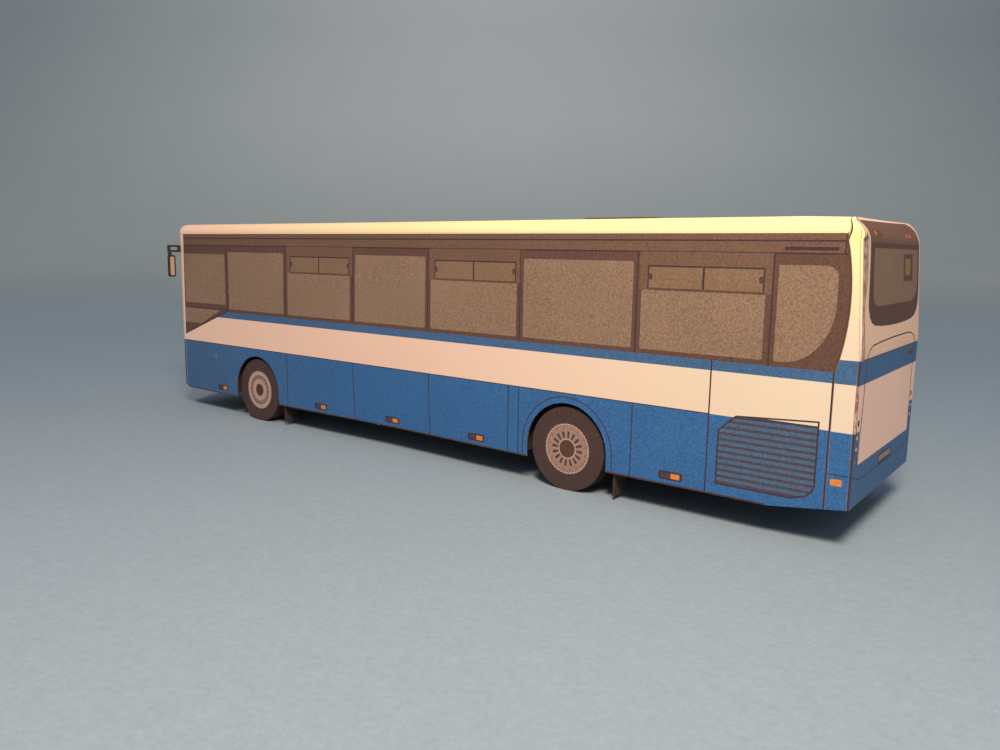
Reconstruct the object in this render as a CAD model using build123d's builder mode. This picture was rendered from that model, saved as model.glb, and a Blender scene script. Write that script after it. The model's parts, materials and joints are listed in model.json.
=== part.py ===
from build123d import *
import os
from math import cos, radians, sin, tan

# A small printed card model of a 12 m intercity bus, about 1:87, in millimetres.
# +X is forward, +Y is the bus's left side, +Z is up. The origin is on the ground,
# in the middle of the model's length and width.

# ---- Card and glue ---------------------------------------------------------------
card = 0.25                # thickness of every body sheet
seam = 0.04                # glue line left between two sheets that meet

# ---- Body shell, outside sizes ---------------------------------------------------
body_length = 138.0
body_width = 29.0
roof_height = 38.15        # crown of the roof above the ground
roof_edge_drop = 2.28      # from the crown down to where side and roof sheets meet
roof_crown_radius = 262.0  # the roof is slightly arched across
cove_radius = 1.8          # rounded edge of the roof, along the sides and the front
front_corner_radius = 2.4
front_corner_turn = 75.0   # degrees that each front corner turns before the flat of the front
lean_start = 23.0          # above this height the rear panel leans forward
rear_lean = 0.85           # how far forward it stands where its brow starts
brow_drop = 2.7            # from the crown down to the fold where the brow starts
brow_lean = 1.85           # how much further forward the brow's top stands

# ---- Lower edge of the body ------------------------------------------------------
skirt_height = 3.9         # lower edge above the ground
tail_height = 5.2          # the same at the rear end
tail_length = 9.5          # length over which the lower edge rises to the rear
nose_height = 5.4          # the same at the front end
nose_length = 5.0

# ---- Rear corner panels ----------------------------------------------------------
corner_width = 2.6         # below the windows
corner_waist = 1.5         # at its narrowest, beside the last window
corner_head = 2.4          # at the edge of the roof, from where it narrows to a point
corner_point_drop = 0.3    # from the roof's crown down to that point
belt_height = 20.65        # lower edge of the window band

# ---- Wheels, axles and the card boxes that hold them -----------------------------
wheel_radius = 6.0
wheel_width = 3.2          # with the printed face disc
wheel_recess = 0.5         # from the body's side to the wheel's face
tread_chamfer = 0.2
rear_axle_offset = 38.0    # from the rear end of the body
wheelbase = 71.4
axle_radius = 0.8
axle_end_inset = 0.6       # from the face disc's back to the axle's end
glue_gap = 0.02            # between an axle and the wheel glued on it
bearing_gap = 0.05         # radial clearance of an axle in its bearer
arch_gap = 0.6             # from the tyre to the edge of its arch
well_gap = 0.7             # from the arch's edge to the well's inner face
bearer_thickness = 0.5
bearer_inset = 4.6         # from the body's side to the bearer's outer face
axle_over_floor = 0.45     # from the floor's upper face up to the axles

# ---- Mud flaps, roof hatch and mirrors -------------------------------------------
flap_width = 3.0
flap_clearance = 0.7       # above the ground
hatch_length = 11.2
hatch_width = 9.0
hatch_offset = 36.9        # from the rear end of the body to the hatch's middle
hatch_corner = 0.8
mirror_width = 1.5
mirror_height = 4.5
mirror_thickness = 0.5
mirror_corner = 0.5
mirror_gap = 0.85          # from the body's side to the mirror's inner edge
mirror_forward = 1.2       # of the side sheet's front edge
neck_width = 0.6           # of the tab that joins the mirror to its arm
neck_length = 0.6          # from the mirror up to the arm
neck_inset = 0.1           # from the mirror's outer edge to the tab
arm_drop = 2.22            # from the roof sheet's edge down to the arm
arm_height = 1.45
arm_thickness = 0.4
arm_slot = 0.6             # height of the long slot in the arm
arm_end_bar = 0.45         # card left at each end of that slot
arm_root = 0.45            # from the side sheet's front edge to the arm's root

# ---- Worked out from the sizes above ---------------------------------------------
roof_edge_height = roof_height - roof_edge_drop
brow_height = roof_height - brow_drop
rear_x = -body_length / 2
front_x = body_length / 2
half_width = body_width / 2
front_end_angle = 90 - front_corner_turn
flat_half = half_width - front_corner_radius * (1 - sin(radians(front_end_angle)))
front_bulge = flat_half * tan(radians(front_end_angle / 2))
side_front_x = front_x - front_bulge - front_corner_radius * cos(radians(front_end_angle))
rear_axle_x = rear_x + rear_axle_offset
front_axle_x = rear_axle_x + wheelbase
arch_radius = wheel_radius + arch_gap
well_radius = arch_radius + well_gap
well_outer = well_radius + card
bearer_y = half_width - bearer_inset
wheel_face_y = half_width - wheel_recess
floor_z = wheel_radius - axle_radius - axle_over_floor - card
floor_recess = floor_z - skirt_height
arm_bottom = roof_edge_height - arm_drop - arm_height
mirror_bottom = arm_bottom - neck_length - mirror_height
reach = body_length        # longer than anything that a cut has to pass through


# ---- Shapes shared by several sheets ---------------------------------------------
def brow_x(height):
    """Where the outer face of the rear panel's brow stands at a height."""
    return rear_x + rear_lean + brow_lean * (height - brow_height) / brow_drop


def plan_outline(inset):
    """The body from above, drawn `inset` inside its outer face."""
    half = half_width - inset
    radius = front_corner_radius - inset
    centre_y = half_width - front_corner_radius
    with BuildSketch() as outline:
        with BuildLine():
            right = CenterArc((side_front_x, -centre_y), radius, -90, front_corner_turn)
            left = CenterArc((side_front_x, centre_y), radius, front_end_angle, front_corner_turn)
            ThreePointArc(right @ 1, (front_x - inset, 0), left @ 0)
            Polyline(left @ 1, (rear_x - 1, half), (rear_x - 1, -half), right @ 0)
        make_face()
    return outline.sketch


def ahead_of_rear(inset):
    """Side view of all that lies in front of a line `inset` inside the rear panel."""
    with BuildSketch(Plane.XZ) as region:
        with BuildLine():
            Polyline(
                (rear_x, -1),
                (rear_x, lean_start),
                (rear_x + rear_lean, brow_height),
                (brow_x(roof_height + 1), roof_height + 1),
                (reach, roof_height + 1),
                (reach, -1),
                close=True,
            )
        make_face()
        if inset:
            offset(amount=-inset, kind=Kind.INTERSECTION)
    return region.sketch


def lower_edge(lift):
    """Points of the body's lower edge in side view, raised by `lift`, from rear to front."""
    return [
        (rear_x - 1, tail_height + lift),
        (rear_x, tail_height + lift),
        (rear_x + tail_length, skirt_height + lift),
        (front_x - nose_length, skirt_height + lift),
        (front_x, nose_height + lift),
        (front_x + 1, nose_height + lift),
    ]


def above_lower_edge(lift):
    """Side view of all that lies above the body's lower edge."""
    top = roof_height + 2
    with BuildSketch(Plane.XZ) as region:
        with BuildLine():
            Polyline(*lower_edge(lift), (front_x + 1, top), (rear_x - 1, top), close=True)
        make_face()
    return region.sketch


def envelope(inset):
    """The body as one closed block, `inset` inside its outer face."""
    with BuildPart() as block:
        extrude(plan_outline(inset), amount=roof_height + 1)
        with BuildSketch(Plane.YZ):
            with Locations((0, roof_height - roof_crown_radius)):
                Circle(roof_crown_radius - inset)
        extrude(amount=reach, both=True, mode=Mode.INTERSECT)
        top_edges = block.faces().sort_by(Axis.Z)[-1].edges().sort_by(Axis.X)
        fillet(top_edges[1:], radius=cove_radius - inset)
        extrude(ahead_of_rear(inset), amount=reach, both=True, mode=Mode.INTERSECT)
    return block.part


def corner_region(grow):
    """Side view of a rear corner panel, its front edge moved forward by `grow`."""
    start_x = rear_x + corner_width + grow
    waist_z = (belt_height + roof_edge_height) / 2
    point_z = roof_height - corner_point_drop
    point_x = brow_x(point_z) + 2 * card + grow
    with BuildSketch(Plane.XZ) as region:
        with BuildLine():
            Polyline((rear_x - 1, -1), (start_x, -1), (start_x, belt_height))
            ThreePointArc(
                (start_x, belt_height),
                (rear_x + corner_waist + grow, waist_z),
                (rear_x + corner_head + grow, roof_edge_height),
            )
            Polyline(
                (rear_x + corner_head + grow, roof_edge_height),
                (point_x, point_z),
                (rear_x - 1, point_z),
                (rear_x - 1, -1),
            )
        make_face()
    return region.sketch


def corner_block(side, grow):
    """What a rear corner panel takes out of the shell on one side, grown by `grow`."""
    inner_y = side * (half_width - cove_radius - grow)
    with BuildPart() as block:
        extrude(corner_region(grow), amount=reach, both=True)
        with Locations((0, inner_y + side * reach / 2, 0)):
            Box(2 * reach, reach, reach, mode=Mode.INTERSECT)
    return block.part


def arch_region(axle_x, radius, bottom):
    """Side view of a wheel arch: half a circle on two straight legs."""
    with BuildSketch(Plane.XZ) as region:
        with BuildLine():
            arc = CenterArc((axle_x, wheel_radius), radius, 0, 180)
            Polyline(arc @ 1, (axle_x - radius, bottom), (axle_x + radius, bottom), arc @ 0)
        make_face()
    return region.sketch


with BuildPart() as shell:
    add(envelope(0))
    add(envelope(card), mode=Mode.SUBTRACT)
    extrude(above_lower_edge(0), amount=reach, both=True, mode=Mode.INTERSECT)

pieces = {}


def keep(name, shape):
    """File a finished piece under its node's name."""
    shape.label = name
    pieces[name] = shape


# ---- Printed sheets of the body --------------------------------------------------
with BuildPart() as rear_panel:
    add(shell.part)
    extrude(ahead_of_rear(card), amount=reach, both=True, mode=Mode.SUBTRACT)
keep("rear_panel", rear_panel.part)

with BuildPart() as front_panel:
    add(shell.part)
    with Locations((side_front_x + reach / 2, 0, roof_edge_height - reach / 2)):
        Box(reach, reach, reach, mode=Mode.INTERSECT)
keep("front_panel", front_panel.part)

with BuildPart() as roof:
    add(shell.part)
    extrude(ahead_of_rear(card + seam), amount=reach, both=True, mode=Mode.INTERSECT)
    with Locations((0, 0, roof_edge_height + seam + reach / 2)):
        Box(2 * reach, reach, reach, mode=Mode.INTERSECT)
    for side in (1, -1):
        add(corner_block(side, seam), mode=Mode.SUBTRACT)
keep("roof", roof.part)

for side, hand in ((1, "left"), (-1, "right")):
    with BuildPart() as side_sheet:
        add(shell.part)
        extrude(ahead_of_rear(card + seam), amount=reach, both=True, mode=Mode.INTERSECT)
        add(corner_block(side, seam), mode=Mode.SUBTRACT)
        with Locations((side_front_x - seam - reach / 2, 0, roof_edge_height - reach / 2)):
            Box(reach, reach, reach, mode=Mode.INTERSECT)
        with Locations((0, side * reach / 2, 0)):
            Box(2 * reach, reach, reach, mode=Mode.INTERSECT)
        for axle_x in (rear_axle_x, front_axle_x):
            extrude(arch_region(axle_x, arch_radius, -1), amount=reach, both=True, mode=Mode.SUBTRACT)
    keep(f"side_{hand}", side_sheet.part)

    with BuildPart() as corner_panel:
        add(shell.part)
        extrude(ahead_of_rear(card + seam), amount=reach, both=True, mode=Mode.INTERSECT)
        add(corner_block(side, 0), mode=Mode.INTERSECT)
    keep(f"rear_corner_{hand}", corner_panel.part)

# ---- Floor, with a cut-out for each wheel well and its mud flap -------------------
with BuildPart() as floor_panel:
    extrude(above_lower_edge(floor_recess), amount=reach, both=True)
    extrude(above_lower_edge(floor_recess + card), amount=reach, both=True, mode=Mode.SUBTRACT)
    extrude(plan_outline(card + seam), amount=roof_height, mode=Mode.INTERSECT)
    extrude(ahead_of_rear(card + seam), amount=reach, both=True, mode=Mode.INTERSECT)
    cut_depth = bearer_inset + bearer_thickness + seam
    cut_rear = well_outer + seam + card + seam
    cut_front = well_outer + seam
    for axle_x in (rear_axle_x, front_axle_x):
        for side in (1, -1):
            cut_x = axle_x + (cut_front - cut_rear) / 2
            with Locations((cut_x, side * (half_width - cut_depth / 2), floor_z)):
                Box(cut_front + cut_rear, cut_depth, 4 * card, mode=Mode.SUBTRACT)
keep("floor_panel", floor_panel.part)

# ---- Wheel wells, axle bearers, and a mud flap on the back of each well ------------
for end, axle_x in (("rear", rear_axle_x), ("front", front_axle_x)):
    for side, hand in ((1, "left"), (-1, "right")):
        inner_y = min(side * (bearer_y + seam), side * (half_width - card - seam))
        with BuildPart() as wheel_well:
            extrude(arch_region(axle_x, well_outer, floor_z), amount=reach, both=True)
            inside = arch_region(axle_x, well_radius, floor_z - 1)
            extrude(inside, amount=reach, both=True, mode=Mode.SUBTRACT)
            with Locations((axle_x, inner_y, 0)):
                Box(
                    reach,
                    bearer_inset - card - 2 * seam,
                    reach,
                    align=(Align.CENTER, Align.MIN, Align.CENTER),
                    mode=Mode.INTERSECT,
                )
        keep(f"{end}_wheel_well_{hand}", wheel_well.part)

        bearer_side = min(side * bearer_y, side * (bearer_y - bearer_thickness))
        with BuildPart() as axle_bearer:
            extrude(arch_region(axle_x, well_outer, floor_z), amount=reach, both=True)
            with Locations((axle_x, bearer_side, 0)):
                Box(
                    reach,
                    bearer_thickness,
                    reach,
                    align=(Align.CENTER, Align.MIN, Align.CENTER),
                    mode=Mode.INTERSECT,
                )
            with Locations(Plane((axle_x, 0, wheel_radius), z_dir=(0, 1, 0))):
                Cylinder(axle_radius + bearing_gap, reach, mode=Mode.SUBTRACT)
        keep(f"{end}_axle_bearer_{hand}", axle_bearer.part)

        flap_y = side * (wheel_face_y - flap_width / 2)
        with BuildPart() as mud_flap:
            with Locations((axle_x - well_outer - seam, flap_y, flap_clearance)):
                Box(
                    card,
                    flap_width,
                    wheel_radius - flap_clearance,
                    align=(Align.MAX, Align.CENTER, Align.MIN),
                )
        keep(f"{end}_mud_flap_{hand}", mud_flap.part)

# ---- Wheelsets: axle, laminated wheels and printed face discs --------------------
core_width = wheel_width - card - seam
core_y = wheel_face_y - card - seam - core_width / 2
axle_length = 2 * (wheel_face_y - card - axle_end_inset)

for end, axle_x in (("rear", rear_axle_x), ("front", front_axle_x)):
    with BuildPart() as axle:
        with Locations(Plane((axle_x, 0, wheel_radius), z_dir=(0, 1, 0))):
            Cylinder(axle_radius, axle_length)
    keep(f"{end}_axle", axle.part)
    for side, hand in ((1, "left"), (-1, "right")):
        with BuildPart() as wheel:
            with Locations(Plane((axle_x, side * core_y, wheel_radius), z_dir=(0, 1, 0))):
                Cylinder(wheel_radius, core_width)
                Cylinder(axle_radius + glue_gap, core_width, mode=Mode.SUBTRACT)
            inner_rim = wheel.edges().filter_by(GeomType.CIRCLE).sort_by(SortBy.RADIUS)[-2:]
            chamfer(inner_rim.sort_by(Axis.Y)[0 if side > 0 else -1], length=tread_chamfer)
        keep(f"{end}_wheel_{hand}", wheel.part)
        face_y = side * (wheel_face_y - card / 2)
        with BuildPart() as wheel_face:
            with Locations(Plane((axle_x, face_y, wheel_radius), z_dir=(0, 1, 0))):
                Cylinder(wheel_radius, card)
        keep(f"{end}_wheel_face_{hand}", wheel_face.part)

# ---- Roof hatch ------------------------------------------------------------------
with BuildPart() as roof_hatch:
    with BuildSketch(Plane.XY.offset(roof_height + seam)):
        with Locations((rear_x + hatch_offset, 0)):
            RectangleRounded(hatch_length, hatch_width, hatch_corner)
    extrude(amount=card)
keep("roof_hatch", roof_hatch.part)

# ---- Mirrors: a slotted arm at each front corner, and a head hung from its end ---
arm_start_x = side_front_x + arm_root
head_x = side_front_x + mirror_forward
arm_reach = mirror_gap + mirror_width
slot_length = arm_reach - seam - 2 * arm_end_bar
for side, hand in ((1, "left"), (-1, "right")):
    arm_root_y = side * (half_width + seam)
    arm_end_y = side * (half_width + arm_reach)
    with BuildPart() as mirror_arm:
        with BuildSketch(Plane.XY.offset(arm_bottom)):
            with BuildLine():
                Polyline(
                    (arm_start_x, arm_root_y),
                    (arm_start_x + arm_thickness, arm_root_y),
                    (head_x + arm_thickness, arm_end_y),
                    (head_x, arm_end_y),
                    close=True,
                )
            make_face()
        extrude(amount=arm_height)
        with Locations((head_x, (arm_root_y + arm_end_y) / 2, arm_bottom + arm_height / 2)):
            Box(4 * mirror_forward, slot_length, arm_slot, mode=Mode.SUBTRACT)
    keep(f"mirror_arm_{hand}", mirror_arm.part)

    neck_top = arm_bottom - seam
    head_middle = half_width + mirror_gap + mirror_width / 2
    neck_middle = half_width + arm_reach - neck_inset - neck_width / 2
    with BuildPart() as mirror_head:
        with BuildSketch(Plane((head_x, 0, 0), x_dir=(0, 1, 0), z_dir=(1, 0, 0))):
            with Locations((side * head_middle, mirror_bottom + mirror_height / 2)):
                RectangleRounded(mirror_width, mirror_height, mirror_corner)
            with Locations((side * neck_middle, (mirror_bottom + mirror_height / 2 + neck_top) / 2)):
                Rectangle(neck_width, neck_top - mirror_bottom - mirror_height / 2)
        extrude(amount=mirror_thickness)
    keep(f"mirror_{hand}", mirror_head.part)

# ---- Write one file per piece ----------------------------------------------------
os.makedirs("parts", exist_ok=True)
for name, shape in pieces.items():
    export_step(shape, f"parts/{name}.step")
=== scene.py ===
"""A small printed card model of an intercity bus: its printed sheets, wheels, mirrors and studio."""

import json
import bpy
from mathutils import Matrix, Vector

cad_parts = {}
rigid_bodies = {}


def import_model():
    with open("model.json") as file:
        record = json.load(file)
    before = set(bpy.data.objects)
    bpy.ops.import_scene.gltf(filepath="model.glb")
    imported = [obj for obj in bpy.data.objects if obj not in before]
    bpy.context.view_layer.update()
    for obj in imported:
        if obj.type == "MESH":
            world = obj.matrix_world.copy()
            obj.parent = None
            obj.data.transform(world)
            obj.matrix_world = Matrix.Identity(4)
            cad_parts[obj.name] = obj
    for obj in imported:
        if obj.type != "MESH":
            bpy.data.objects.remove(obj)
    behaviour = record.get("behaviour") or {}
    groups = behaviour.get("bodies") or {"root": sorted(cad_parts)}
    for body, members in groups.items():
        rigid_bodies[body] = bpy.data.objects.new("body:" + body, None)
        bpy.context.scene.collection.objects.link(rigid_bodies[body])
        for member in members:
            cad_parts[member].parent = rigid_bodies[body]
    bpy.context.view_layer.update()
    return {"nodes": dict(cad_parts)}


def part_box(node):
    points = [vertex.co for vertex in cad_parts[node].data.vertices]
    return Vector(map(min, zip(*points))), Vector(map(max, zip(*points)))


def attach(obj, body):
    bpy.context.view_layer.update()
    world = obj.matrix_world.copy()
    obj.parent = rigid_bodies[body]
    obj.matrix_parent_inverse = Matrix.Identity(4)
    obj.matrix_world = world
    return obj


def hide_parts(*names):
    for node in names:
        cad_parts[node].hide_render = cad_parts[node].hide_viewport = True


bl_info = {
    "name": "Card Model Intercity Bus",
    "version": (1, 0, 0),
    "blender": (4, 5, 0),
    "location": "View3D > Sidebar > Card Bus",
    "description": "Prints the sheets, wheels and mirrors of a folded card bus on its packed frame",
    "category": "Object",
}

from math import atan2, cos, exp, hypot, pi, radians, sin, tau

import bmesh
import bpy
from bpy.props import FloatProperty, FloatVectorProperty, IntProperty, PointerProperty
from mathutils import Matrix, Vector

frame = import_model()

MM = 0.001
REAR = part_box("rear_panel")[0].x
SIDE_FRONT = (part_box("side_left")[1].x - REAR) / MM       # mm ahead of the rear end
ROOF_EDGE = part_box("side_left")[1].z / MM
AXLES = {end: sum(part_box(f"{end}_axle"), Vector()) / 2 for end in ("rear", "front")}
HANDS = {"left": 1, "right": -1}
SLIP = 2e-7              # places nearer than this count as one, in metres

YAW, PITCH, ROLL = radians(37.885), radians(8.745), radians(0.875)     # of the camera
CAMERA_PLACE = (-0.09135, 0.1072, 0.0334)
LENS, SENSOR = 28.98, 36.0                                             # in mm
AHEAD = Vector((sin(YAW), -cos(YAW), 0))                               # over the floor
FORWARD = Vector((sin(YAW) * cos(PITCH), -cos(YAW) * cos(PITCH), -sin(PITCH)))


def tint(red, green, blue):
    """A colour written in steps of 255, as the linear values that shaders take."""
    steps = [value / 255 for value in (red, green, blue)]
    return tuple(v / 12.92 if v <= 0.04045 else ((v + 0.055) / 1.055) ** 2.4 for v in steps)


def colour(name, description, red, green, blue):
    return FloatVectorProperty(
        name=name, description=description, default=tint(red, green, blue), min=0, max=1, subtype="COLOR"
    )


def length(name, description, millimetres):
    return FloatProperty(
        name=name, description=description, default=millimetres * MM, min=0, unit="LENGTH", precision=5
    )


def strength(name, description, value):
    return FloatProperty(name=name, description=description, default=value, min=0)


class CardBusColours(bpy.types.PropertyGroup):
    """Inks and cards of the model."""

    white: colour("White card", "Unprinted card of the waist band, corners and rear", 242, 213, 182)
    # The roof card's yellow, strongest at the rear, is a painted highlight that stands for strong light on
    # that end of the roof.
    roof: colour("Roof card", "Card of the roof at the rear, yellowed by handling", 251, 239, 165)
    roof_front: colour("Roof card, front", "Card of the roof towards the front", 254, 205, 173)
    pulp: colour("Cut card", "Bare card at cut and rubbed edges", 238, 216, 196)
    blush: colour("Pinker card", "Rear end, and the sides towards the front", 253, 205, 178)
    # Painted shade: the rear end above its stripe gets a duller card, standing for the lesser light where the
    # panel leans ahead.
    fold: colour("Leaning card", "Rear end above its stripe", 242, 195, 163)
    blue: colour("Blue ink", "Skirt of both sides", 57, 103, 153)
    stripe: colour("Stripe ink", "Duller blue of the stripe and the rear bumper", 70, 102, 138)
    frame: colour("Window frame ink", "Dark frames and pillars around the glass", 102, 71, 57)
    rail: colour("Roof rail ink", "Lighter brown band above the windows and frames of the vents", 119, 86, 67)
    glass: colour("Window ink", "Flat brown-grey that stands for glass", 147, 115, 91)
    pane: colour("Vent window ink", "Darker brown-grey of the vent panes and the rear window", 137, 105, 79)
    line: colour("Line ink", "Thin printed lines of flaps, doors and vents", 70, 50, 52)
    seam: colour("Seam ink", "Thin lines between the flaps of the skirt", 60, 60, 80)
    border: colour("Rear border ink", "Dark border of the rear window", 95, 62, 48)
    felt: colour("Felt pen", "Pen strokes that darken the folded rear edges", 122, 64, 54)
    slat: colour("Slat ink", "Dark slats of the engine grille", 82, 66, 80)
    gap: colour("Grille ink", "Blue-green between the slats", 77, 102, 125)
    orange: colour("Orange ink", "Side marker lamps", 229, 134, 60)
    red: colour("Red ink", "Tail lamps", 183, 102, 69)
    sign: colour("Sign ink", "Blank yellow-green sign in the rear window", 140, 113, 48)
    tyre: colour("Tyre ink", "Printed tyre and blackened layers behind it", 78, 56, 51)
    rim: colour("Rim ink", "Pale printed wheel discs", 190, 153, 136)
    hub: colour("Rear wheel rim ink", "Duller rims and hub plates of the rear wheels", 165, 127, 111)
    dusk: colour("Rim shadow ink", "Darker printed ring of the front wheels", 150, 117, 101)
    mirror: colour("Mirror ink", "Flat pinkish print that stands for mirror glass", 206, 162, 140)
    # Dark card stands partly for the shade under the body: the floor and the wells are painted dark where
    # only shade shows, while the mud flaps are dark card.
    black: colour("Black card", "Mirror arms and the edge of the mirrors", 60, 49, 45)
    dark: colour("Dark card", "Floor, wheel wells, mud flaps and mirror arms", 72, 60, 54)
    stick: colour("Axle stick", "Round wooden sticks of the axles", 196, 160, 118)
    brow: colour("Lamp panel ink", "Folded panel above the rear window", 117, 82, 58)
    # Painted light on the backdrop: the distant floor is paler and the upright part darker than the floor
    # paper, and the pale patch high on the upright part is a painted pool of light.
    distant: colour("Distant paper", "Backdrop between the model and its upright part", 165, 170, 169)
    upright: colour("Upright paper", "Backdrop, where it stands upright", 111, 126, 131)
    backdrop_highlight: colour("Bleached paper", "Pale patch high on the backdrop", 254, 252, 247)
    paper: colour("Floor paper", "Pale blue-grey paper that the model stands on", 149, 160, 168)


class CardBusSizes(bpy.types.PropertyGroup):
    """Sizes of the print and of the hand-made unevenness of the sheets."""

    fine_line: length("Fine line", "Width of the thin lines between flaps", 0.2)
    frame_line: length("Frame line", "Width of the lines around windows and vents", 0.2)
    rim_width: length("Rubbed rim", "Width of the strip along cut edges where ink is rubbed off", 0.22)
    roof_bow: length("Roof bow", "How far the top of each side leans in between the wheels", 0.5)
    skirt_bow: length("Skirt bow", "How far the lower edge of each side leans in between the wheels", 0.6)
    wheel_slots: IntProperty(
        name="Rear wheel slots", description="Slots in a rear wheel disc", default=16, min=8, max=20
    )


class CardBusStudio(bpy.types.PropertyGroup):
    """Lamps and world."""

    near_power: strength("Near lamp", "Power of the small soft lamp over the camera", 0.29)
    far_power: strength("Far lamp", "Strength of the distant soft lamp", 1.06)
    world: strength("World", "Strength of the even light from all around", 0.37)
    warmth: colour("Lamp colour", "Warm colour of both lamps", 255, 242, 224)
    air: colour("World colour", "Cool colour of the even light", 206, 229, 255)


# ---- Working tools ------------------------------------------------------------------
def colours():
    return bpy.context.scene.card_bus_colours


def sizes():
    return bpy.context.scene.card_bus_sizes


def only(piece):
    """Select one object, make it the active one, and nothing else."""
    for other in bpy.context.view_layer.objects:
        other.select_set(False)
    piece.select_set(True)
    bpy.context.view_layer.objects.active = piece


def edit(piece):
    only(piece)
    bpy.ops.object.mode_set(mode="EDIT")
    bpy.ops.mesh.select_mode(type="FACE")


def smooth(piece):
    only(piece)
    bpy.ops.object.shade_smooth_by_angle(angle=radians(28))


def settle(piece, body, node):
    """Hand a finished piece to the frame."""
    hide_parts(node)
    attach(piece, body)


# ---- Finishes -----------------------------------------------------------------------
FIBRE_DEPTH = 0.00002    # of the paper's surface, in metres


class Nodes:
    """A material's node tree, with its textures in object coordinates."""

    def __init__(self, name):
        material = bpy.data.materials.new(name)
        material.use_nodes = True
        self.tree = material.node_tree
        self.shader = self.tree.nodes["Principled BSDF"]
        self.where = self.node("ShaderNodeTexCoord", {}, "Object")

    def node(self, kind, inputs, output, **settings):
        """Add a node, link or set its inputs, and give back one output."""
        node = self.tree.nodes.new(kind)
        for key, value in settings.items():
            setattr(node, key, value)
        for key, value in inputs.items():
            if isinstance(value, bpy.types.NodeSocket):
                self.tree.links.new(value, node.inputs[key])
            else:
                node.inputs[key].default_value = value
        return node.outputs[output]

    def axis(self, name):
        return self.node("ShaderNodeSeparateXYZ", {0: self.where}, name)

    def stretched(self, *scale):
        return self.node("ShaderNodeMapping", {"Vector": self.where, "Scale": scale}, "Vector")

    def measured(self, operation, point):
        """The distance from a point, or the length along a direction."""
        return self.node("ShaderNodeVectorMath", {0: self.where, 1: point}, "Value", operation=operation)

    def noise(self, scale, detail=2.0, roughness=0.5, where=None):
        place = self.where if where is None else where
        inputs = {"Vector": place, "Scale": scale, "Detail": detail, "Roughness": roughness}
        return self.node("ShaderNodeTexNoise", inputs, "Fac")

    def ranged(self, value, low, high, new_low=0.0, new_high=1.0):
        inputs = {"Value": value, "From Min": low, "From Max": high, "To Min": new_low, "To Max": new_high}
        return self.node("ShaderNodeMapRange", inputs, "Result")

    def spread(self, new_low, new_high, scale, detail=3.0, roughness=0.7):
        """Noise that runs from one value to another."""
        return self.ranged(self.noise(scale, detail, roughness), 0.3, 0.7, new_low, new_high)

    def maths(self, operation, first, second=0.0):
        return self.node("ShaderNodeMath", {0: first, 1: second}, "Value", operation=operation)

    def brightened(self, shade, factor):
        return self.node("ShaderNodeHueSaturation", {"Color": shade, "Value": factor}, "Color")

    def mixed(self, factor, first, second):
        return self.node("ShaderNodeMix", {"Factor": factor, 6: first, 7: second}, 2, data_type="RGBA")

    def bumped(self, height, distance, strength):
        inputs = {"Distance": distance, "Strength": strength, "Height": height}
        self.tree.links.new(self.node("ShaderNodeBump", inputs, "Normal"), self.shader.inputs["Normal"])

    def finish(self, base, roughness, specular=0.3):
        self.tree.links.new(base, self.shader.inputs["Base Color"])
        self.shader.inputs["Roughness"].default_value = roughness
        self.shader.inputs["Specular IOR Level"].default_value = specular


def solid(shade):
    return (*shade, 1.0)


def mix_ink(name, shade, speckle, fade=0.05, roughness=0.6, rub=0.75, ahead=None):
    """Ink on card: toner speckle, slow fading, paper grain, and bare card along rubbed edges.

    `ahead` is a second shade, taken on slowly between two places along the bus, in mm.
    """
    n = Nodes(name)
    ground = solid(shade)
    if ahead:
        second, start, end = ahead
        ground = n.mixed(n.ranged(n.axis("X"), start * MM, end * MM), ground, solid(second))
    grains = n.spread(1 - speckle, 1 + speckle, 5200, 2.0, 0.8)
    cloud = n.spread(1 - fade, 1 + fade, 75, 3.0, 0.6)
    printed = n.brightened(ground, n.maths("MULTIPLY", grains, cloud))
    wear = n.node("ShaderNodeAttribute", {}, "Fac", attribute_name="wear")
    chipped = n.maths("ADD", wear, n.ranged(n.noise(1300, 4.0, 0.7), 0.25, 0.75, -1.0, 0.15))
    rubbed = n.ranged(chipped, 0.74, 0.95, 0.0, rub)
    fibres = n.maths("ADD", n.noise(2600, 3.0, 0.65), n.maths("MULTIPLY", n.noise(420), 0.8))
    n.bumped(fibres, FIBRE_DEPTH, 0.35)
    n.finish(n.mixed(rubbed, printed, solid(colours().pulp)), roughness)


def mix_felt(name, shade):
    """Short uneven strokes of a felt pen over bare card."""
    n = Nodes(name)
    strokes = n.ranged(n.noise(2300, 3.0, 0.7, n.stretched(1.0, 1.0, 0.4)), 0.4, 0.62, 0.15, 0.9)
    n.bumped(n.noise(2600, 3.0, 0.65), FIBRE_DEPTH, 0.35)
    n.finish(n.mixed(strokes, solid(shade), solid([value * 0.85 for value in colours().blush])), 0.62)


def mix_card_with_painted_highlight(name, first, second, axis, start, end):
    """Bare card whose tone changes slowly along one axis, between two places in mm, as a painted highlight:
    paler and yellower towards the more strongly lit end.
    """
    n = Nodes(name)
    tone = n.ranged(n.axis(axis), start * MM, end * MM)
    n.bumped(n.noise(2600, 3.0, 0.65), FIBRE_DEPTH, 0.35)
    n.finish(n.brightened(n.mixed(tone, solid(first), solid(second)), n.spread(0.985, 1.015, 3000)), 0.65)


def mix_dark_card(name, shade):
    """Blackened card, with pulp showing faintly through."""
    n = Nodes(name)
    patches = n.maths("MULTIPLY", n.spread(0.82, 1.2, 3100), n.spread(0.85, 1.18, 160, 3.0, 0.6))
    n.bumped(n.noise(1900, 4.0, 0.7), 0.00003, 0.5)
    n.finish(n.brightened(solid(shade), patches), 0.75, 0.2)


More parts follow.
